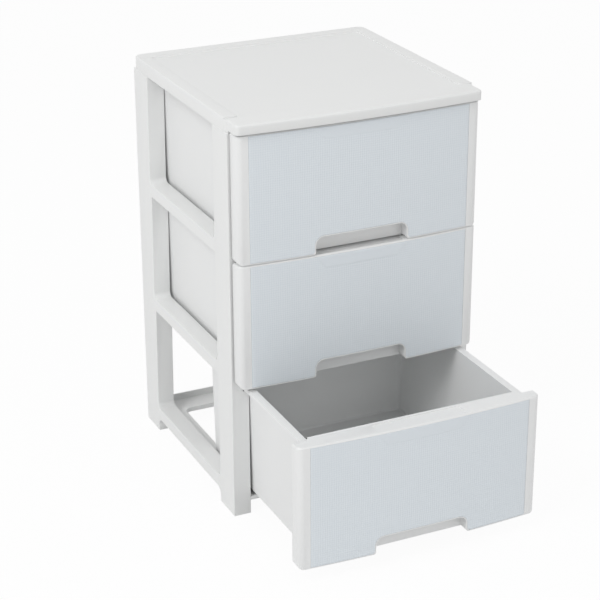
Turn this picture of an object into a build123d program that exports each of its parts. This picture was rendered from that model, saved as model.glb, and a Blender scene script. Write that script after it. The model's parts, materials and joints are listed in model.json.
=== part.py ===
"""A free-standing plastic drawer unit: two ladder side frames, open shelves, a lid and three sliding drawers.

Millimetres, +Z up. The origin is on the floor, midway between the side frames and midway from their
front posts to their rear posts. The drawers slide out towards -Y, and +X is to the right of someone
who faces them. The lowest drawer stands open; the other two are shut.
"""

from build123d import *
from math import radians, sqrt, tan
import os

os.makedirs("parts", exist_ok=True)

# The unit as a whole
unit_width = 390.0
frame_depth = 362.0
tier_pitch = 192.0
tier_names = ("lower", "middle", "upper")
frame_top = 597.5
front_y = -frame_depth / 2
rear_y = frame_depth / 2

# Side frames: hollow posts and rails, open towards the inside
frame_thickness = 27.0
frame_wall = 3.0
post_width = 52.0
rail_bottom = 21.5
rail_top = 41.5
rear_post_low = 130.5
rear_post_high = 125.0
foot_radius = 11.0
window_radius = 9.5
edge_bevel = 0.8
stiffener_height = 112.0
frame_inner_x = unit_width / 2 - frame_thickness

# The channel in each post that the drawer's rim runs through
channel_bottom = 203.0
channel_top = 213.5
channel_mouth = 9.0
channel_depth = 12.0

# Shelves: a plate with a large hole in it, plugged into the rails
shelf_half_width = 167.8
shelf_rear = 172.0
plate_top = 27.0
plate_thickness = 2.5
hole_half_width = 148.5
hole_front = -150.0
hole_rear = 134.0
hole_radius = 13.0
plug_bays = 5
plug_pitch = 50.6
plug_width = 46.4
plug_height = 8.0
plug_length = 9.0
bay_width = 47.0
base_lip_depth = 8.0
shelf_lip_depth = 6.0
shelf_skirt_inset = 6.5
ear_inner_x = 177.0
ear_outer_x = 187.0
ear_thickness = 1.6
ear_low = 13.0
ear_high = 41.0

# Drawer fronts, measured up from the drawer's own lower edge
front_floor = 25.0
front_height = 190.5
front_half_width = 191.5
bow_front = -210.5
bow_radius = 2500.0
front_back = -181.5
return_back = -184.5
front_wall = 2.6
front_top_wall = 3.4
front_corner = 11.0
front_low_corner = 9.0
front_top_bevel = 2.0

# Handle notch in the lower edge, and the pocket behind it
notch_half_width = 73.0
notch_height = 26.0
notch_radius = 13.0
notch_flare = 4.0
pocket_back = -190.2
pocket_height = 47.8
pocket_wall = 2.2

# Finger dish in the top edge
dish_half_width = 70.0
dish_depth = 1.6
dish_front_margin = 4.2
dish_back = -180.8
dish_radius = 4.5

# Textured face insert
insert_half_width = 172.4
insert_low = 1.5
insert_high = 188.0
insert_thickness = 1.2
insert_gap = 0.25
notch_rim = 1.6
pad_top_half_width = 73.0
pad_low_half_width = 58.0
pad_height = 18.0
pad_proud = 0.35

# Tubs
tub_floor = 7.0
tub_rim = 186.5
tub_wall = 2.3
tub_draft = 1.2
tub_rim_half_width = 167.0
tub_rim_rear = 170.5
tub_rear_corner = 14.0
tub_floor_bevel = 4.0
rim_half_width = 176.0
rim_rear = 175.0
rim_rear_corner = 10.0
rim_skirt = 6.5
rim_skirt_wall = 1.8
skid_x = 154.5
skid_width = 4.0
skid_bottom = 2.4
lug_y = 82.0
lug_length = 8.0
lug_reach = 2.5
hook_half_width = 164.4
hook_wall = 2.2
hook_drop = 11.0
hook_play = 0.4

# Lid
lid_height = 19.9
rim_height = 2.0
rim_width = 21.0
rim_rounding = 2.0
lid_back_rim = 155.0
lid_rim_end = -171.0
lid_step_y = -175.0
lid_nose_half_width = 192.5
lid_nose_front = -215.0
lid_nose_bottom = 601.2
lid_rear_corner = 13.0
lid_nose_corner = 8.0
lid_nose_rounding = 3.0
lid_wall = 3.0
tenon_height = 9.5
tenon_inset = 8.0
tenon_play = 0.3

# Drawers, from the bottom up: how far each is pulled out
drawer_pull = (195.0, 0.0, 0.0)


def save(part, name):
    part.label = name
    export_step(part, f"parts/{name}.step")


def bow(x, inset=0.0):
    """Y of the bowed front at x, on an arc that lies inset behind the outer one."""
    radius = bow_radius - inset
    return bow_front + bow_radius - sqrt(radius**2 - x**2)


def draft_run(height):
    """How far a drafted tub wall leans in over a height."""
    return height * tan(radians(tub_draft))


def elevation(tier):
    """The upright plane through a tier's origin, seen from the front: x to the right, y up."""
    return Plane(origin=tier.origin, x_dir=(1, 0, 0), z_dir=(0, -1, 0))


def left_side_frame_part():
    outer = Plane.YZ.offset(-unit_width / 2)
    inner = Plane.YZ.offset(-frame_inner_x)
    window_front = front_y + post_width
    pocket_depth = frame_thickness - frame_wall
    ear_seats = [ear_outline(-1, tier * tier_pitch) for tier in (1, 2)]
    front_post = (front_y + frame_wall, window_front - frame_wall)
    rear_post = (rear_post_low + frame_wall, rear_y - frame_wall)

    with BuildPart() as frame:
        # Ladder outline: one window per tier, the last one closed by the lid, and a gap between the feet
        with BuildSketch(outer):
            with Locations((0, frame_top / 2)):
                Rectangle(frame_depth, frame_top)
            for tier in range(len(tier_names)):
                sill = tier * tier_pitch + rail_top
                head = min((tier + 1) * tier_pitch + rail_bottom, frame_top)
                with BuildLine():
                    Polyline(
                        (window_front, sill),
                        (rear_post_low, sill),
                        (rear_post_high, head),
                        (window_front, head),
                        close=True,
                    )
                make_face(mode=Mode.SUBTRACT)
            with Locations((0, rail_bottom / 2)):
                Rectangle(-2 * window_front, rail_bottom, mode=Mode.SUBTRACT)
        extrude(amount=frame_thickness)
        cross_edges = frame.edges().filter_by(Axis.X)
        foot_corners = cross_edges.filter_by_position(Axis.Z, rail_bottom - 1, rail_bottom + 1)
        fillet(foot_corners, radius=foot_radius)
        for tier in range(len(tier_names)):
            sill = tier * tier_pitch + rail_top
            cross_edges = frame.edges().filter_by(Axis.X)
            fillet(cross_edges.filter_by_position(Axis.Z, sill - 1, sill + 1), radius=window_radius)
        chamfer(frame.faces().sort_by(Axis.X)[0].edges(), length=edge_bevel)

        # Hollows in the posts, with a stiffener halfway up each tier and a floor under the channel
        with BuildSketch(inner):
            for low, high in (front_post, rear_post):
                with Locations(((low + high) / 2, (frame_wall + rail_bottom) / 2)):
                    Rectangle(high - low, rail_bottom - frame_wall)
                for tier in range(len(tier_names)):
                    base = tier * tier_pitch
                    cells = [
                        (rail_bottom + frame_wall, stiffener_height),
                        (stiffener_height + frame_wall, channel_bottom - frame_wall),
                    ]
                    if base + channel_top < frame_top:
                        cells.append((channel_bottom, channel_top))
                    for cell_low, cell_high in cells:
                        with Locations(((low + high) / 2, base + (cell_low + cell_high) / 2)):
                            Rectangle(high - low, cell_high - cell_low)
        extrude(amount=-pocket_depth, mode=Mode.SUBTRACT)

        # Hollows in the rails, where the shelves plug in
        with BuildSketch(inner):
            for tier in range(len(tier_names)):
                middle = tier * tier_pitch + (rail_bottom + rail_top) / 2
                with Locations((0, middle)):
                    with GridLocations(plug_pitch, 1, plug_bays, 1):
                        Rectangle(bay_width, rail_top - rail_bottom - 2 * frame_wall)
        extrude(amount=-pocket_depth, mode=Mode.SUBTRACT)

        # The channel for the drawer's rim: a narrow mouth in front, wider behind it for the stop lug
        for start, end, depth in (
            (front_y, front_y + frame_wall, channel_mouth),
            (front_y + frame_wall, window_front, channel_depth),
            (rear_post_high, rear_y - frame_wall, channel_depth),
        ):
            with BuildSketch(inner):
                for tier in range(len(tier_names)):
                    middle = tier * tier_pitch + (channel_bottom + channel_top) / 2
                    with Locations(((start + end) / 2, middle)):
                        Rectangle(end - start, channel_top - channel_bottom)
            extrude(amount=-depth, mode=Mode.SUBTRACT)

        # Shallow seats in the front post for the ears of the two upper shelves
        with BuildSketch(Plane.XZ.offset(-front_y)):
            add(ear_seats)
        extrude(amount=-ear_thickness, mode=Mode.SUBTRACT)

        # Tenons that the lid drops over
        tenon_x = frame_inner_x + channel_depth
        tenon_outer_x = unit_width / 2 - lid_wall - tenon_play
        with BuildSketch(Plane.XY.offset(frame_top)):
            for low, high in (front_post, rear_post):
                with Locations((-(tenon_x + tenon_outer_x) / 2, (low + high) / 2)):
                    Rectangle(tenon_outer_x - tenon_x, high - low - 2 * tenon_inset)
        extrude(amount=tenon_height)
    return frame.part


def ear_outline(side, base):
    """L-shaped ear that hooks a shelf over the front post, on a plane seen from the front."""
    with BuildSketch() as ear:
        with BuildLine():
            Polyline(
                (side * (shelf_half_width - plate_thickness), base + plate_top - plate_thickness),
                (side * ear_inner_x, base + plate_top - plate_thickness),
                (side * ear_inner_x, base + ear_low),
                (side * ear_outer_x, base + ear_low),
                (side * ear_outer_x, base + ear_high),
                (side * (frame_inner_x + tenon_play), base + ear_high),
                (side * (frame_inner_x + tenon_play), base + plate_top),
                (side * (shelf_half_width - plate_thickness), base + plate_top),
                close=True,
            )
        make_face()
    return ear.sketch


def shelf_part(base, skirt_inset, lip_depth, has_ears):
    """A plate with a turned-down rim and a large hole, plugs along both sides and a raised rear edge."""
    plate_bottom = plate_top - plate_thickness
    skirt_bottom = base + rail_bottom
    floor = Plane.XY.offset(base + plate_bottom)
    plate_middle = (front_y + shelf_rear) / 2
    hole_middle = (hole_front + hole_rear) / 2
    ears = [ear_outline(side, base) for side in (-1, 1)]

    with BuildPart() as shelf:
        with BuildSketch(floor):
            with Locations((0, plate_middle)):
                Rectangle(2 * shelf_half_width, shelf_rear - front_y)
        extrude(amount=plate_thickness)

        # Skirt under the edge
        with BuildSketch(Plane.XY.offset(skirt_bottom)):
            with Locations((0, plate_middle + skirt_inset / 2)):
                Rectangle(2 * shelf_half_width, shelf_rear - front_y - skirt_inset)
                Rectangle(
                    2 * (shelf_half_width - plate_thickness),
                    shelf_rear - front_y - skirt_inset - 2 * plate_thickness,
                    mode=Mode.SUBTRACT,
                )
        extrude(amount=plate_bottom - rail_bottom)

        # Turned-down lip round the hole, then the hole
        with BuildSketch(Plane.XY.offset(base + plate_top - lip_depth)):
            with Locations((0, hole_middle)):
                RectangleRounded(
                    2 * (hole_half_width + plate_thickness),
                    hole_rear - hole_front + 2 * plate_thickness,
                    hole_radius + plate_thickness,
                )
        extrude(amount=lip_depth)
        with BuildSketch(floor):
            with Locations((0, hole_middle)):
                RectangleRounded(2 * hole_half_width, hole_rear - hole_front, hole_radius)
        extrude(amount=2 * lip_depth, both=True, mode=Mode.SUBTRACT)

        # Raised rear edge
        with BuildSketch(Plane.XY.offset(base + plate_top)):
            with Locations((0, shelf_rear - plate_thickness / 2)):
                Rectangle(2 * shelf_half_width, plate_thickness)
        extrude(amount=lip_depth + plate_thickness)

        # Plugs that sit on the floors of the rails' bays, in every other bay
        with BuildSketch(floor):
            for side in (-1, 1):
                with Locations((side * (shelf_half_width + plug_length / 2), 0)):
                    with GridLocations(1, 2 * plug_pitch, 1, (plug_bays + 1) // 2):
                        Rectangle(plug_length, plug_width)
        extrude(amount=plug_height)

        if has_ears:
            with BuildSketch(Plane.XZ.offset(-front_y)):
                add(ears)
            extrude(amount=-ear_thickness)
    return shelf.part


def lid_outline(inset=0.0):
    """Plan of the lid: square at the back, a slightly narrower bowed nose at the front."""
    half = unit_width / 2 - inset
    nose = lid_nose_half_width - inset
    bow_shift = lid_nose_front - bow_front
    tip = bow(nose, inset) + bow_shift
    with BuildSketch() as plan:
        with BuildLine():
            ThreePointArc((-nose, tip), (0, bow(0, inset) + bow_shift), (nose, tip))
            Polyline(
                (nose, tip),
                (nose, lid_step_y),
                (half, lid_rim_end),
                (half, rear_y - inset),
                (-half, rear_y - inset),
                (-half, lid_rim_end),
                (-nose, lid_step_y),
                (-nose, tip),
            )
        make_face()
        fillet(plan.vertices().group_by(Axis.Y)[0], radius=lid_nose_corner - inset)
        fillet(plan.vertices().group_by(Axis.Y)[-1], radius=lid_rear_corner - inset)
    return plan.sketch


def on_lid_outline(edge):
    """True for an edge along the lid's sides or back, not for a rim's inner edge or end."""
    middle = edge @ 0.5
    return middle.Y > (lid_back_rim + rear_y) / 2 or abs(middle.X) > lid_nose_half_width


def top_cover_part():
    lid_top = frame_top + lid_height
    centre_top = lid_top - rim_height
    rim_inner_x = unit_width / 2 - rim_width
    far = 2 * unit_width
    outer_plan = lid_outline()
    inner_plan = lid_outline(lid_wall)

    with BuildPart() as lid:
        with BuildSketch(Plane.XY.offset(frame_top)):
            add(outer_plan)
        extrude(amount=lid_height)

        # Sunk centre that runs out over the nose between two raised side rims
        with BuildSketch(Plane.XY.offset(lid_top)) as centre:
            with Locations((0, lid_back_rim)):
                Rectangle(2 * rim_inner_x, far, align=(Align.CENTER, Align.MAX))
            with Locations((0, lid_rim_end)):
                Rectangle(far, far, align=(Align.CENTER, Align.MAX))
            inner_corners = centre.vertices().filter_by_position(Axis.X, -rim_inner_x - 1, rim_inner_x + 1)
            fillet(inner_corners, radius=lid_nose_corner / 2)
        extrude(amount=-rim_height, mode=Mode.SUBTRACT)

        # Soft outer edges round the rims, then round the nose
        rim_edges = lid.faces().sort_by(Axis.Z)[-1].edges()
        fillet(rim_edges.filter_by(on_lid_outline), radius=rim_rounding)
        level_edges = lid.edges().filter_by_position(Axis.Z, centre_top - edge_bevel, centre_top + edge_bevel)
        fillet(level_edges.filter_by(lambda edge: (edge @ 0.5).Y < lid_step_y), radius=lid_nose_rounding)

        # Underside: a hollow middle and a channel along each side that the posts' tenons enter
        with BuildSketch(Plane.XY.offset(frame_top)):
            add(inner_plan)
            for side in (-1, 1):
                with Locations((side * (frame_inner_x + lid_wall / 2), 0)):
                    Rectangle(lid_wall, far, mode=Mode.SUBTRACT)
        extrude(amount=centre_top - lid_wall - frame_top, mode=Mode.SUBTRACT)

        # The nose hangs over the top drawer's front and clears it
        with BuildSketch(Plane.XY.offset(frame_top)):
            with Locations((0, front_back)):
                Rectangle(far, far, align=(Align.CENTER, Align.MAX))
        extrude(amount=lid_nose_bottom - frame_top, mode=Mode.SUBTRACT)
    return lid.part


def bowed_block(tier, inset, back):
    """A drawer front's outer form, shrunk by inset: bowed face, rounded ends, rounded lower corners."""
    half = front_half_width - inset
    end = bow(half, inset)
    top = front_height - (front_top_wall if inset else 0)
    with BuildPart() as block:
        with BuildSketch(tier.offset(inset)) as plan:
            with BuildLine():
                ThreePointArc((-half, end), (0, bow(0, inset)), (half, end))
                Polyline((half, end), (half, back), (-half, back), (-half, end))
            make_face()
            fillet(plan.vertices().group_by(Axis.Y)[0], radius=front_corner - inset)
        extrude(amount=top - inset)
        with BuildSketch(elevation(tier)) as side_view:
            with Locations((0, inset)):
                Rectangle(2 * half, top - inset, align=(Align.CENTER, Align.MIN))
            fillet(side_view.vertices().group_by(Axis.Y)[0], radius=front_low_corner - inset)
        extrude(amount=unit_width, mode=Mode.INTERSECT)
    return block.part


def notch_outline(margin=0.0):
    """Handle notch seen from the front: rounded upper corners, and a small flare at the lower edge."""
    half = notch_half_width + margin
    top = notch_height + margin
    flare = notch_flare
    with BuildSketch() as notch:
        with BuildLine():
            Polyline((half + flare, 0), (half + flare, -flare), (-half - flare, -flare), (-half - flare, 0))
            Polyline((-half - flare, 0), (-half, 0), (-half, top), (half, top), (half, 0), (half + flare, 0))
        make_face()
        mouth = notch.vertices().filter_by_position(Axis.Y, -flare / 2, flare / 2)
        fillet(mouth.filter_by_position(Axis.X, -half - flare / 2, half + flare / 2), radius=flare - 0.5)
        fillet(notch.vertices().group_by(Axis.Y)[-1], radius=notch_radius + margin)
    return notch.sketch


def bowed_slab(tier, half, front_inset, back_inset, low, high):
    """A sheet that follows the bowed face, from front_inset to back_inset behind it."""
    with BuildPart() as slab:
        with BuildSketch(tier.offset(low)):
            with BuildLine():
                front = ThreePointArc(
                    (-half, bow(half, front_inset)), (0, bow(0, front_inset)), (half, bow(half, front_inset))
                )
                back = ThreePointArc(
                    (-half, bow(half, back_inset)), (0, bow(0, back_inset)), (half, bow(half, back_inset))
                )
                Line(front @ 0, back @ 0)
                Line(front @ 1, back @ 1)
            make_face()
        extrude(amount=high - low)
    return slab.part


def drawer_front_part(tier):
    """Hollow bowed shell: notch handle with a pocket, finger dish, hook over the tub, seat for the insert."""
    view = elevation(tier)
    top = tier.offset(front_height)
    outer = bowed_block(tier, 0, front_back)
    inner = bowed_block(tier, front_wall, front_back + front_wall)
    notch = notch_outline()
    seat = insert_blank(tier, insert_gap, -front_wall)
    face_inside = -bow(notch_half_width, front_wall)

    with BuildPart() as front:
        add(outer)
        top_edges = front.faces().sort_by(Axis.Z)[-1].edges().sort_by(Axis.Y)
        chamfer(top_edges[:-1], length=front_top_bevel)
        add(inner, mode=Mode.SUBTRACT)

        # The two returns stop short of the posts
        with BuildSketch(tier):
            for side in (-1, 1):
                with Locations((side * front_half_width, front_back)):
                    Rectangle(2 * (front_half_width - frame_inner_x), 2 * (front_back - return_back))
        extrude(amount=front_height, mode=Mode.SUBTRACT)

        # Pocket behind the notch: a box hung from the face, and then its inside
        with BuildSketch(view.offset(-pocket_back - pocket_wall)):
            with Locations((0, front_wall / 2)):
                Rectangle(
                    2 * (notch_half_width + pocket_wall),
                    pocket_height + pocket_wall - front_wall / 2,
                    align=(Align.CENTER, Align.MIN),
                )
        extrude(amount=face_inside + pocket_back + pocket_wall + front_wall / 2)
        with BuildSketch(view.offset(-pocket_back)):
            with Locations((0, -front_wall)):
                Rectangle(2 * notch_half_width, pocket_height + front_wall, align=(Align.CENTER, Align.MIN))
        extrude(amount=face_inside + pocket_back, mode=Mode.SUBTRACT)

        # Seat for the insert, then the notch through the face
        add(seat, mode=Mode.SUBTRACT)
        with BuildSketch(view.offset(-pocket_back)):
            add(notch)
        extrude(amount=unit_width, mode=Mode.SUBTRACT)

        # Hook that reaches over the tub's front wall and down behind it
        hook_inside = front_back + tub_wall + hook_play
        with BuildSketch(top):
            with Locations((0, front_back - front_wall)):
                Rectangle(
                    2 * hook_half_width,
                    front_wall + tub_wall + hook_play + hook_wall,
                    align=(Align.CENTER, Align.MIN),
                )
        extrude(amount=-front_top_wall)
        with BuildSketch(top):
            with Locations((0, hook_inside)):
                Rectangle(2 * hook_half_width, hook_wall, align=(Align.CENTER, Align.MIN))
        extrude(amount=-front_top_wall - hook_drop)

        # Shallow finger dish in the top edge, parallel to the bow in front
        with BuildSketch(top) as dish:
            with BuildLine():
                dish_end = bow(dish_half_width, dish_front_margin)
                ThreePointArc(
                    (-dish_half_width, dish_end),
                    (0, bow(0, dish_front_margin)),
                    (dish_half_width, dish_end),
                )
                Polyline(
                    (dish_half_width, dish_end),
                    (dish_half_width, dish_back),
                    (-dish_half_width, dish_back),
                    (-dish_half_width, dish_end),
                )
            make_face()
            fillet(dish.vertices(), radius=dish_radius)
        extrude(amount=-dish_depth, mode=Mode.SUBTRACT)
    return front.part


def insert_blank(tier, growth, front_inset):
    """The insert's plain form, or with growth the space that it lies in."""
    half = insert_half_width + growth
    slab = bowed_slab(tier, half, front_inset, insert_thickness, insert_low - growth, insert_high + growth)
    notch = notch_outline(notch_rim - growth)
    with BuildPart() as blank:
        add(slab)
        with BuildSketch(elevation(tier)):
            add(notch)
            Rectangle(2 * (notch_half_width + notch_flare), 2 * notch_flare)
        extrude(amount=unit_width, mode=Mode.SUBTRACT)
    return blank.part


def face_insert_part(tier):
    """Thin panel set flush into the bowed face, with a smooth pad standing just proud of its upper edge."""
    blank = insert_blank(tier, 0, 0)
    pad_sheet = bowed_slab(
        tier, pad_top_half_width, -pad_proud, insert_thickness, insert_high - pad_height, insert_high
    )
    with BuildPart() as pad:
        add(pad_sheet)
        with BuildSketch(elevation(tier)):
            with BuildLine():
                Polyline(
                    (-pad_top_half_width, insert_high),
                    (-pad_low_half_width, insert_high - pad_height),
                    (pad_low_half_width, insert_high - pad_height),
                    (pad_top_half_width, insert_high),
                    close=True,
                )
            make_face()
        extrude(amount=unit_width, mode=Mode.INTERSECT)
    with BuildPart() as insert:
        add(blank)
        add(pad.part)
    return insert.part


def tub_block(tier, inset):
    """The tub's outer form, or with inset its hollow: four drafted walls and a bevel round the floor."""
    rise = tub_rim - tub_floor - inset
    shrink = inset + draft_run(rise)
    length = tub_rim_rear - front_back - 2 * shrink
    with BuildPart() as block:
        with BuildSketch(tier.offset(tub_floor + inset)) as plan:
            with Locations((0, front_back + shrink)):
                Rectangle(2 * (tub_rim_half_width - shrink), length, align=(Align.CENTER, Align.MIN))
            fillet(plan.vertices().group_by(Axis.Y)[-1], radius=tub_rear_corner - shrink)
        extrude(amount=rise, taper=-tub_draft)
        chamfer(block.faces().sort_by(Axis.Z)[0].edges(), length=tub_floor_bevel - inset / 2)
    return block.part


def drawer_tub_part(tier):
    """Tapered tub with a turned-out rim, stop lugs on the rim and two skids under the floor."""
    outer = tub_block(tier, 0)
    inner = tub_block(tier, tub_wall)
    rim_length = rim_rear - front_back
    mouth_half_width = tub_rim_half_width - tub_wall
    mouth_length = tub_rim_rear - tub_wall - front_back
    floor_run = draft_run(tub_rim - tub_floor)
    skid_length = tub_rim_rear - front_back - 2 * (floor_run + tub_rear_corner)

    with BuildPart() as tub:
        add(outer)
        add(inner, mode=Mode.SUBTRACT)

        # Turned-out rim along the sides and the back, with its edge turned down
        with BuildSketch(tier.offset(tub_rim)) as rim:
            with Locations((0, front_back)):
                Rectangle(2 * rim_half_width, rim_length, align=(Align.CENTER, Align.MIN))
            fillet(rim.vertices().group_by(Axis.Y)[-1], radius=rim_rear_corner)
            with Locations((0, front_back)):
                Rectangle(
                    2 * mouth_half_width, mouth_length,
                    align=(Align.CENTER, Align.MIN), mode=Mode.SUBTRACT,
                )
        extrude(amount=-tub_wall)
        with BuildSketch(tier.offset(tub_rim)) as skirt:
            with Locations((0, front_back)):
                Rectangle(2 * rim_half_width, rim_length, align=(Align.CENTER, Align.MIN))
            fillet(skirt.vertices().group_by(Axis.Y)[-1], radius=rim_rear_corner)
            with Locations((0, front_back)):
                Rectangle(
                    2 * (rim_half_width - rim_skirt_wall), rim_length - rim_skirt_wall,
                    align=(Align.CENTER, Align.MIN), mode=Mode.SUBTRACT,
                )
        extrude(amount=-rim_skirt)

        # Stop lugs that meet the front posts from behind when the drawer is out
        with BuildSketch(tier.offset(tub_rim)):
            for side in (-1, 1):
                with Locations((side * (rim_half_width + lug_reach / 2), lug_y)):
                    Rectangle(lug_reach, lug_length)
        extrude(amount=-rim_skirt)

        # Skids that run on the shelf's side strips
        with BuildSketch(tier.offset(skid_bottom)):
            for side in (-1, 1):
                with Locations((side * skid_x, (front_back + tub_rim_rear) / 2)):
                    Rectangle(skid_width, skid_length)
        extrude(amount=tub_floor - skid_bottom)
    return tub.part


with BuildPart() as left_side_frame:
    add(left_side_frame_part())
with BuildPart() as right_side_frame:
    mirror(left_side_frame.part, about=Plane.YZ)
save(left_side_frame.part, "left_side_frame")
save(right_side_frame.part, "right_side_frame")
save(shelf_part(0, 0, base_lip_depth, False), "base_frame")
save(shelf_part(tier_pitch, shelf_skirt_inset, shelf_lip_depth, True), "lower_shelf")
save(shelf_part(2 * tier_pitch, shelf_skirt_inset, shelf_lip_depth, True), "upper_shelf")
save(top_cover_part(), "top_cover")

for level, name in enumerate(tier_names):
    tier = Plane(origin=(0, -drawer_pull[level], front_floor + level * tier_pitch))
    save(drawer_tub_part(tier), f"{name}_drawer_tub")
    save(drawer_front_part(tier), f"{name}_drawer_front")
    save(face_insert_part(tier), f"{name}_face_insert")
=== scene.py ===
# %% [markdown]
# # A plastic drawer unit in a white studio
#
# The real object is a light cabinet for a child's room: two ladder-shaped side frames carry open shelves
# and a lid, and three drawers slide in between. Everything is moulded polypropylene. Its looks come from
# three things: edges with a small even rounding, a satin skin that scatters light softly, and the pale
# linen-grained panels set into the drawer fronts.
#
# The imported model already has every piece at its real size, so the script loads it and keeps it fixed.
# Each later cell adds one finish or one finer surface on top of it.

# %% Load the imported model
import json
import math

import bmesh
import bpy
import numpy as np
from mathutils import Matrix, Vector


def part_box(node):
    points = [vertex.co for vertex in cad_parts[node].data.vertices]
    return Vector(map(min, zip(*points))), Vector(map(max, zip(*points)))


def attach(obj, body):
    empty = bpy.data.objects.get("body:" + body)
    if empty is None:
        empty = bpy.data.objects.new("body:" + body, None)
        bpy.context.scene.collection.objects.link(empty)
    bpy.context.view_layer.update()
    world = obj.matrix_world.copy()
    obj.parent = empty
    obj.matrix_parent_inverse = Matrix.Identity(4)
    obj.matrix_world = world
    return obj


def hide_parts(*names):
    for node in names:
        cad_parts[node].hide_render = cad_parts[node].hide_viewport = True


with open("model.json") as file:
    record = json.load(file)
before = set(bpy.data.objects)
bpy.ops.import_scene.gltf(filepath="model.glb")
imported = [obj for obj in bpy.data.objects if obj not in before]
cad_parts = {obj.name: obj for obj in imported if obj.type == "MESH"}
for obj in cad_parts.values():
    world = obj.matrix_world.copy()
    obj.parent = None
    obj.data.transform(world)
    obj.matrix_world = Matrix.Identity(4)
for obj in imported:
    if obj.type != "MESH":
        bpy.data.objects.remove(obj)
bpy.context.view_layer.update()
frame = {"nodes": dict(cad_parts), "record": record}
nodes = frame["nodes"]
body_of = {node: body for body, members in frame["record"]["behaviour"]["bodies"].items() for node in members}
slot_of = {part["node"]: part["material_slot"] for part in frame["record"]["subparts"]}
tiers = ("lower", "middle", "upper")
MM = 0.001
print("nodes:", sorted(nodes))

# %% [markdown]
# ## Camera
#
# The photograph was taken with a long lens from the front left and from above. A long lens flattens
# perspective, so the camera stands three metres away. Its direction could be copied as a matrix, but
# an azimuth, an elevation and a very small roll say the same thing in numbers that a reader can picture,
# so the three camera axes are worked out from those angles.

# %% Camera
LENS = 109.57
SENSOR = 36.0
AZIMUTH, ELEVATION, ROLL = (math.radians(angle) for angle in (-24.956, 23.269, -0.2905))
TARGET = np.array([76.69, 167.32, 165.58]) * MM
DISTANCE = 3052.4 * MM

away = np.array([
    math.sin(AZIMUTH) * math.cos(ELEVATION),
    -math.cos(AZIMUTH) * math.cos(ELEVATION),
    math.sin(ELEVATION),
])
level_right = np.cross(-away, [0, 0, 1])
level_right /= np.linalg.norm(level_right)
level_up = np.cross(level_right, -away)
camera_right = math.cos(ROLL) * level_right + math.sin(ROLL) * level_up
camera_up = math.cos(ROLL) * level_up - math.sin(ROLL) * level_right

camera_data = bpy.data.cameras.new("studio_camera")
camera_data.sensor_fit = "HORIZONTAL"
camera_data.sensor_width = SENSOR
camera_data.lens = LENS
camera = bpy.data.objects.new("studio_camera", camera_data)
placement = np.eye(4)
placement[:3, :3] = np.column_stack([camera_right, camera_up, away])
placement[:3, 3] = TARGET + DISTANCE * away
camera.matrix_world = Matrix(placement.tolist())
bpy.context.scene.collection.objects.link(camera)
bpy.context.scene.camera = camera
bpy.context.scene.view_settings.view_transform = "Standard"
print("camera stands at", np.round(placement[:3, 3], 3), "metres")

# %% [markdown]
# ## Writing materials as arithmetic
#
# A shader is a small program drawn as boxes and wires. Adding each Math box by hand hides the sum that it
# does, so one small class wraps an output socket and overloads the arithmetic operators. Then
# `0.4 + 0.1 * grain` builds its own Math nodes and reads like the formula it is. Colours and vectors must
# not pass through a Math node, because it turns them grey, so they go through Mix and Vector Math.

# %% Shader arithmetic
class Value:
    """One output socket of a material, with arithmetic that adds Math nodes."""

    def __init__(self, material, socket):
        self.material = material
        self.socket = socket

    def maths(self, operation, *others, clamp=False):
        inputs = dict(enumerate((self, *others)))
        return self.material.node("ShaderNodeMath", {"operation": operation, "use_clamp": clamp}, inputs)

    def __add__(self, other):
        return self.maths("ADD", other)

    def __sub__(self, other):
        return self.maths("SUBTRACT", other)

    def __mul__(self, other):
        return self.maths("MULTIPLY", other)

    def __rsub__(self, other):
        return self.material.node("ShaderNodeMath", {"operation": "SUBTRACT"}, {0: other, 1: self})

    __radd__ = __add__
    __rmul__ = __mul__


class Finish:
    """A material under construction. node() adds any node: its type, its settings, then its sockets."""

    def __init__(self, name):
        self.material = bpy.data.materials.new(name)
        self.material.use_nodes = True
        self.tree = self.material.node_tree
        self.shader = self.tree.nodes["Principled BSDF"]

    def node(self, kind, settings=None, inputs=None, output=0):
        made = self.tree.nodes.new(kind)
        for name, setting in (settings or {}).items():
            setattr(made, name, setting)
        for key, value in (inputs or {}).items():
            self.feed(made.inputs[key], value)
        return Value(self, made.outputs[output])

    def feed(self, socket, value):
        if isinstance(value, Value):
            self.tree.links.new(value.socket, socket)
        else:
            socket.default_value = value

    def place(self, x=1.0, y=1.0, z=1.0):
        """Object coordinates in metres, stretched along each axis."""
        here = self.node("ShaderNodeTexCoord", output="Object")
        return self.node("ShaderNodeVectorMath", {"operation": "MULTIPLY"}, {0: here, 1: (x, y, z)})

    def noise(self, place, scale, detail=2.0, rough=0.5):
        return self.node("ShaderNodeTexNoise", None,
                         {"Vector": place, "Scale": scale, "Detail": detail, "Roughness": rough})

    def mix(self, share, first, second):
        """A colour that goes from first to second as share goes from 0 to 1."""
        mixer = self.tree.nodes.new("ShaderNodeMix")
        mixer.data_type = "RGBA"
        self.feed(mixer.inputs["Factor"], share)
        self.feed(mixer.inputs[6], first)
        self.feed(mixer.inputs[7], second)
        return Value(self, mixer.outputs[2])

    def constant(self, **sockets):
        for name, value in sockets.items():
            self.shader.inputs[name.replace("_", " ")].default_value = value

    def wear(self, colour, roughness, height, depth):
        """Connects what varies: the colour, the roughness, and a bump of a real depth in metres."""
        self.feed(self.shader.inputs["Base Color"], colour)
        self.feed(self.shader.inputs["Roughness"], roughness)
        bump = self.node("ShaderNodeBump", None, {"Strength": 1.0, "Distance": depth, "Height": height})
        self.feed(self.shader.inputs["Normal"], bump)
        return self.material


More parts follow.
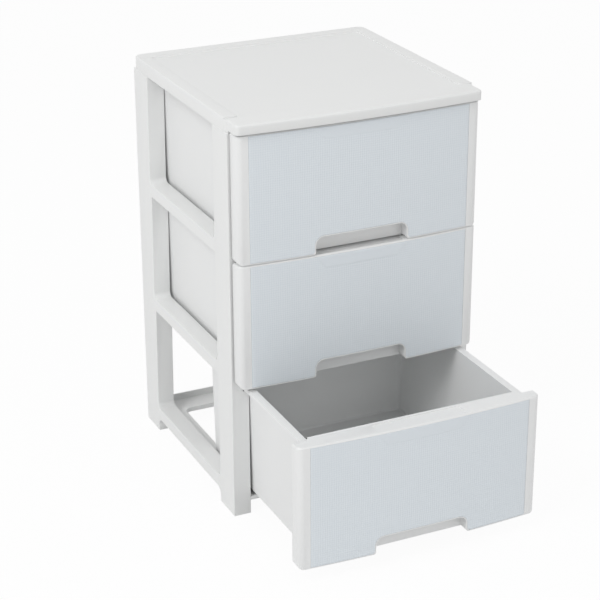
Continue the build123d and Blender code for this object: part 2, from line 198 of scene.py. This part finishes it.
# %% [markdown]
# ## White polypropylene
#
# The frame, lid, shelves, tubs and front shells are taken as one plastic. Moulded white polypropylene is
# not flat white: the mould's fine grain breaks up the highlight, and the colour drifts very slightly. A
# fine noise stands for the grain and a broad one for the drift. The drawers look a touch lighter than the
# frame in the photograph, so one function makes both in two shades. Whether that comes from the plastic
# or from the light can't be told from one picture.

# %% Polypropylene
GRAIN_PER_METRE = 950.0
CLOUD_PER_METRE = 9.0
GRAIN_DEPTH = 0.03 * MM
CLOUD_SHARE = 0.8
PLASTIC_IOR = 1.49


def polypropylene(name, pale, deep, smooth, dull):
    """Satin plastic: colour drifts from pale to deep with slow clouds, roughness from smooth to dull."""
    finish = Finish(name)
    place = finish.place()
    clouds = finish.noise(place, CLOUD_PER_METRE, detail=3.0)
    grain = finish.noise(place, GRAIN_PER_METRE, detail=2.0, rough=0.6)
    colour = finish.mix(CLOUD_SHARE * clouds + (1 - CLOUD_SHARE) * grain, pale, deep)
    roughness = smooth + (dull - smooth) * (0.5 * clouds + 0.5 * grain)
    finish.constant(IOR=PLASTIC_IOR)
    return finish.wear(colour, roughness, grain, GRAIN_DEPTH)


FRAME_SMOOTH, FRAME_DULL = 0.36, 0.50
DRAWER_SMOOTH, DRAWER_DULL = 0.34, 0.46
FRAME_PALE, FRAME_DEEP = (0.862, 0.868, 0.863, 1.0), (0.842, 0.850, 0.845, 1.0)
DRAWER_PALE, DRAWER_DEEP = (0.868, 0.873, 0.871, 1.0), (0.850, 0.857, 0.856, 1.0)
materials = {
    "frame_plastic": polypropylene(
        "frame_polypropylene", FRAME_PALE, FRAME_DEEP, FRAME_SMOOTH, FRAME_DULL),
    "drawer_plastic": polypropylene(
        "drawer_polypropylene", DRAWER_PALE, DRAWER_DEEP, DRAWER_SMOOTH, DRAWER_DULL),
}
print("plastics:", [material.name for material in materials.values()])

# %% [markdown]
# ## Linen grain
#
# The panel in each drawer front is taken as the same plastic in a pale blue-grey, moulded with a linen
# grain: upright and level threads that swell and thin at random. A sine across the panel gives the pitch,
# and a slow noise added inside the sine makes the thread wander. A second noise, squeezed hard across a
# thread and drawn out along it, gives the slubs. The photograph shows the grain no larger than its own
# pixels, so pitch and slubs are a guess. The pad under the top edge is plain, and the mesh carries that
# as an attribute called pad, which fades the threads out.

# %% Linen panel
THREAD_PITCH = 3.4 * MM
THREAD_WANDER, WANDER_PER_METRE = 5.0, 45.0
THREAD_CONTRAST = 3.2
ACROSS_SLUB, ALONG_SLUB = 520.0, 55.0
LINEN_PALE, LINEN_DEEP = (0.785, 0.832, 0.868, 1.0), (0.745, 0.797, 0.840, 1.0)
PAD_COLOUR = (0.760, 0.808, 0.848, 1.0)
THREAD_DEPTH = 0.22 * MM


def thread(finish, axis):
    """Half of 0.5 + 0.5 sin(2 pi across / pitch + wander * noise), and half of a noise drawn out along it."""
    here = finish.place()
    across = finish.node("ShaderNodeSeparateXYZ", None, {0: here}, output=axis)
    slow = finish.noise(here, WANDER_PER_METRE)
    wave = (across * (2 * math.pi / THREAD_PITCH) + THREAD_WANDER * slow).maths("SINE")
    stretch = {"X": (ACROSS_SLUB, 1, ALONG_SLUB), "Z": (ALONG_SLUB, 1, ACROSS_SLUB)}[axis]
    return 0.25 + 0.25 * wave + 0.5 * finish.noise(finish.place(*stretch), 1.0)


def linen_panel():
    finish = Finish("linen_polypropylene")
    pad = finish.node("ShaderNodeAttribute", {"attribute_name": "pad"}, output="Fac")
    woven = (0.5 * (thread(finish, "X") + thread(finish, "Z"))) * (1 - pad) + 0.5 * pad
    contrast = (woven - 0.5).maths("MULTIPLY_ADD", THREAD_CONTRAST, 0.5, clamp=True)
    colour = finish.mix(pad, finish.mix(contrast, LINEN_DEEP, LINEN_PALE), PAD_COLOUR)
    roughness = 0.52 - 0.12 * pad + 0.10 * woven
    finish.constant(IOR=PLASTIC_IOR)
    return finish.wear(colour, roughness, woven, THREAD_DEPTH)


materials["face_insert"] = linen_panel()
print("panel material:", materials["face_insert"].name)

# %% [markdown]
# ## Rounded edges
#
# Every edge of a moulded piece has a small radius, and at this distance that radius is what the eye sees:
# a thin bright line beside each dark gap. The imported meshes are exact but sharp, and they stay as they
# are, so each one is copied. The copy's loose triangles are merged into whole faces, and a Bevel modifier
# then rolls every edge that turns by more than a set angle. Facets of a curved wall turn by less, so they
# are left alone and only shaded smooth.

# %% Rounded copies of the moulded pieces
MERGE_DISTANCE = 0.002 * MM
FLAT_ANGLE = math.radians(0.3)
EDGE_ANGLE = math.radians(32.0)
BEVEL_SEGMENTS = 3
EDGE_RADIUS = {"side_frame": 1.1, "cover": 0.8, "shelf": 0.8, "base": 0.8, "tub": 0.7, "front": 0.7}


def rounded_copy(node, radius):
    """The node's mesh merged into whole faces, with every real edge rolled to a radius."""
    shell = bmesh.new()
    shell.from_mesh(nodes[node].data)
    bmesh.ops.remove_doubles(shell, verts=shell.verts, dist=MERGE_DISTANCE)
    bmesh.ops.dissolve_limit(shell, angle_limit=FLAT_ANGLE, verts=shell.verts, edges=shell.edges)
    for face in shell.faces:
        face.smooth = True
    mesh = bpy.data.meshes.new(node + "_rounded")
    shell.to_mesh(mesh)
    shell.free()
    piece = bpy.data.objects.new(node + "_rounded", mesh)
    bpy.context.scene.collection.objects.link(piece)
    bevel = piece.modifiers.new("rolled_edges", "BEVEL")
    bevel.width = radius
    bevel.segments = BEVEL_SEGMENTS
    bevel.limit_method = "ANGLE"
    bevel.angle_limit = EDGE_ANGLE
    bevel.harden_normals = True
    return piece


def dress(piece, node):
    """Gives a finer piece its node's material, body and record slot."""
    piece.data.materials.clear()
    piece.data.materials.append(materials[slot_of[node]])
    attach(piece, body_of[node])
    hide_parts(node)


for node in sorted(nodes):
    kind = next((word for word in EDGE_RADIUS if word in node), None)
    if kind:
        piece = rounded_copy(node, EDGE_RADIUS[kind] * MM)
        dress(piece, node)
        print(node, len(piece.data.polygons), "faces before its edges are rolled")

# %% [markdown]
# ## Face inserts
#
# The insert is a thin bowed sheet with a notch cut in its lower edge. A boolean cut would leave ragged
# triangles round the notch, so the sheet is a grid instead: its lowest line follows the notch, its
# highest line is straight, and the lines between blend from one to the other. The outer lines of the
# grid turn back over a small radius and run down to the back of the sheet, which closes it.

# %% Outline of the insert
BOW_RADIUS, BOW_FRONT = 2500.0, -210.5
PANEL_HALF, PANEL_LOW, PANEL_HIGH, PANEL_THICK = 172.4, 1.5, 188.0, 1.2
NOTCH_HALF, NOTCH_TOP, NOTCH_RADIUS, FLARE_RADIUS = 74.6, 27.6, 14.6, 3.5
PAD_TOP_HALF, PAD_LOW_HALF, PAD_HEIGHT, PAD_PROUD = 73.0, 58.0, 18.0, 0.35
PANEL_EDGE = 0.45
PANEL_STEP = 1.15


def arc(centre, radius, start, end, count=24):
    """Points on an arc, from one angle to another in degrees."""
    angle = np.radians(np.linspace(start, end, count))
    return np.column_stack([centre[0] + radius * np.cos(angle), centre[1] + radius * np.sin(angle)])


def lower_edge():
    """Lower edge of the insert, left to right: straight, a small flare, up and over the notch, and back."""
    flare = arc((-NOTCH_HALF - FLARE_RADIUS, PANEL_LOW + FLARE_RADIUS), FLARE_RADIUS, -90, 0)
    corner = arc((-NOTCH_HALF + NOTCH_RADIUS, NOTCH_TOP - NOTCH_RADIUS), NOTCH_RADIUS, 180, 90)
    half = np.vstack([[-PANEL_HALF, PANEL_LOW], flare, corner])
    return np.vstack([half, half[::-1] * (-1, 1)])


def even_steps(outline, step):
    """The same outline with its points a steady distance apart along it."""
    reach = np.concatenate([[0], np.cumsum(np.linalg.norm(np.diff(outline, axis=0), axis=1))])
    at = np.linspace(0, reach[-1], int(round(reach[-1] / step)) + 1)
    return np.column_stack([np.interp(at, reach, outline[:, axis]) for axis in (0, 1)])


bottom_line = even_steps(lower_edge(), PANEL_STEP)
print("lower edge of the insert:", len(bottom_line), "points")

# %% [markdown]
# The rings below are pairs of numbers: how far in from the outline a grid line lies, and how far behind
# the face. The first ring is the back edge of the sheet and the last one is where the flat face starts.

# %% Grid of the insert
quarter = np.radians(np.linspace(0, 90, 4))
ring_inset = np.concatenate([[0.0], PANEL_EDGE * (1 - np.cos(quarter))])
ring_depth = np.concatenate([[PANEL_THICK], PANEL_EDGE * (1 - np.sin(quarter))])
RINGS = len(ring_inset)
INNER_ROWS = 150


def smoothstep(value):
    """0 below 0, 1 above 1, and a smooth S between."""
    value = np.clip(value, 0, 1)
    return value * value * (3 - 2 * value)


def pad_mask(x, z, softness=0.9):
    """1 on the plain pad under the top edge, a trapezoid, and 0 away from it."""
    down = PANEL_HIGH - z
    half = PAD_TOP_HALF + (PAD_LOW_HALF - PAD_TOP_HALF) * down / PAD_HEIGHT
    return smoothstep((half - np.abs(x)) / softness) * smoothstep((PAD_HEIGHT - down) / softness)


def insert_grid():
    """Points (row, column, xyz) in mm: lower edge blended into the straight upper edge, bent to the bow."""
    slope = np.gradient(bottom_line, axis=0)
    inward = np.column_stack([-slope[:, 1], slope[:, 0]]) / np.linalg.norm(slope, axis=1, keepdims=True)
    columns = len(bottom_line)
    top_line = np.column_stack([np.linspace(-PANEL_HALF, PANEL_HALF, columns), np.full(columns, PANEL_HIGH)])
    low_rows = bottom_line + ring_inset[:, None, None] * inward
    high_rows = top_line - ring_inset[::-1, None, None] * np.array([0.0, 1.0])
    blend = np.linspace(0, 1, INNER_ROWS + 2)[1:-1, None, None]
    flat = np.concatenate([low_rows, low_rows[-1] * (1 - blend) + high_rows[0] * blend, high_rows])
    side_inset = ring_inset[:, None]
    x, z = flat[..., 0].copy(), flat[..., 1]
    x[:, :RINGS] = (-PANEL_HALF + side_inset).T
    x[:, -RINGS:] = (PANEL_HALF - side_inset[::-1]).T
    row_ring = np.minimum(np.arange(len(flat)), np.arange(len(flat))[::-1]).clip(max=RINGS - 1)
    column_ring = np.minimum(np.arange(columns), np.arange(columns)[::-1]).clip(max=RINGS - 1)
    depth = ring_depth[np.minimum(row_ring[:, None], column_ring[None, :])]
    pad = pad_mask(x, z) * (depth == 0)
    face = BOW_FRONT + BOW_RADIUS - np.sqrt(BOW_RADIUS**2 - x**2)
    return np.stack([x, face + depth - PAD_PROUD * pad, z], axis=-1), pad


grid, pad_share = insert_grid()
print("insert grid:", grid.shape[0], "rows by", grid.shape[1], "columns")

# %% [markdown]
# The sheet still lies in the drawer's own measure. Each drawer lifts it by its tier, and the lowest one
# also pulls it forward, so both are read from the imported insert's box rather than typed again. The back
# is closed with one long face to a column; the two end faces take in every point of their side.

# %% Inserts on the three drawers
FACE_FRONT = BOW_FRONT - PAD_PROUD


def closed_sheet(name, points, share):
    """A mesh from a grid of points: quads in front, long faces behind, and the pad share at each point."""
    rows, columns = points.shape[:2]
    index = np.arange(rows * columns).reshape(rows, columns)
    quads = np.stack([index[:-1, :-1], index[:-1, 1:], index[1:, 1:], index[1:, :-1]], axis=-1).reshape(-1, 4)
    low, high = index[0], index[-1]
    back = np.stack([low[1:-2], high[1:-2], high[2:-1], low[2:-1]], axis=-1).tolist()
    back.append([int(i) for i in (*index[:, 0], high[1], low[1])])
    back.append([int(i) for i in (low[-2], high[-2], *index[::-1, -1])])
    mesh = bpy.data.meshes.new(name)
    mesh.from_pydata(points.reshape(-1, 3), [], quads.tolist() + back)
    mesh.attributes.new("pad", "FLOAT", "POINT").data.foreach_set("value", share.ravel().astype(np.float32))
    mesh.polygons.foreach_set("use_smooth", np.arange(len(mesh.polygons)) < len(quads))
    piece = bpy.data.objects.new(name, mesh)
    bpy.context.scene.collection.objects.link(piece)
    return piece


for tier in tiers:
    node = tier + "_face_insert"
    low_corner = np.array(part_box(node)[0])
    shift = low_corner - np.array([-PANEL_HALF, FACE_FRONT, PANEL_LOW]) * MM
    piece = closed_sheet(node + "_linen", grid * MM + np.array([0, shift[1], shift[2]]), pad_share)
    dress(piece, node)
    print(node, "sheet moved by", np.round(shift / MM, 2), "mm from the drawer's own measure")

# %% [markdown]
# ## Floor and light
#
# The unit stands on a white sweep. A white floor could be lit until it burns out, but that light would
# also bleach the plastic. Instead the floor shows itself as plain white to the camera and to
# reflections, and mixes in a share of ordinary white paint, which keeps a soft shadow under the feet.
# The plastic is lit by a pale sky all round, one large soft lamp from the upper left, one from
# above and a weak one from the front.

# %% Floor
FLOOR_HALF = 6.0
PAINT_SHARE = 0.05
PAINT_COLOUR = (0.92, 0.92, 0.92, 1.0)


def seen_directly(tree):
    """A socket that is 1 for rays from the camera, off a gloss or through something clear, and else 0."""
    rays = tree.nodes.new("ShaderNodeLightPath")
    total = rays.outputs["Is Camera Ray"]
    for name in ("Is Glossy Ray", "Is Transmission Ray"):
        adder = tree.nodes.new("ShaderNodeMath")
        adder.use_clamp = True
        tree.links.new(total, adder.inputs[0])
        tree.links.new(rays.outputs[name], adder.inputs[1])
        total = adder.outputs[0]
    return total


floor_mesh = bpy.data.meshes.new("studio_floor")
floor_corners = [(x * FLOOR_HALF, y * FLOOR_HALF, 0) for x, y in ((-1, -1), (1, -1), (1, 1), (-1, 1))]
floor_mesh.from_pydata(floor_corners, [], [(0, 1, 2, 3)])
floor = bpy.data.objects.new("studio_floor", floor_mesh)
bpy.context.scene.collection.objects.link(floor)
sweep = Finish("white_sweep")
sweep.constant(Base_Color=PAINT_COLOUR, Roughness=0.9)
seen = Value(sweep, seen_directly(sweep.tree))
glow = sweep.node("ShaderNodeEmission", None, {"Color": (1, 1, 1, 1), "Strength": 1.0})
paint = Value(sweep, sweep.shader.outputs["BSDF"])
sweep_mix = sweep.node("ShaderNodeMixShader", None, {0: seen * (1 - PAINT_SHARE), 1: paint, 2: glow})
sweep.feed(sweep.tree.nodes["Material Output"].inputs["Surface"], sweep_mix)
floor_mesh.materials.append(sweep.material)
print("floor:", 2 * FLOOR_HALF, "metres square")

# %% [markdown]
# The places and levels of the sky and lamps were found by trial, by comparing patches of the render with
# the same patches of the photograph. They are one way to match it, not a record of how it was lit.

# %% Sky and lamps
SKY_LEVEL = 0.53
world = bpy.data.worlds.new("studio_sky")
world.use_nodes = True
bpy.context.scene.world = world
sky_tree = world.node_tree
sky = sky_tree.nodes["Background"]
sky.inputs["Color"].default_value = (1, 1, 1, 1)
level = sky_tree.nodes.new("ShaderNodeMapRange")
level.inputs["To Min"].default_value = SKY_LEVEL
level.inputs["To Max"].default_value = 1.0
sky_tree.links.new(seen_directly(sky_tree), level.inputs["Value"])
sky_tree.links.new(level.outputs["Result"], sky.inputs["Strength"])


def soft_lamp(name, place, aim, side, power):
    """A square area lamp at place, in metres, that faces aim."""
    data = bpy.data.lights.new(name, "AREA")
    data.size = side
    data.energy = power
    lamp = bpy.data.objects.new(name, data)
    lamp.location = place
    lamp.rotation_euler = (Vector(aim) - Vector(place)).to_track_quat("-Z", "Y").to_euler()
    bpy.context.scene.collection.objects.link(lamp)


UNIT_MIDDLE = (0.0, 0.0, 0.3)
LAMPS = (
    ("key_lamp", (-3.0, -1.3, 3.3), 1.8, 64.5),
    ("top_lamp", (0.3, -0.4, 3.4), 2.2, 7.0),
    ("front_lamp", (1.2, -3.2, 1.8), 1.8, 10.0),
)
for name, place, side, power in LAMPS:
    soft_lamp(name, place, UNIT_MIDDLE, side, power)
print("lamps:", [light.name for light in bpy.data.lights])
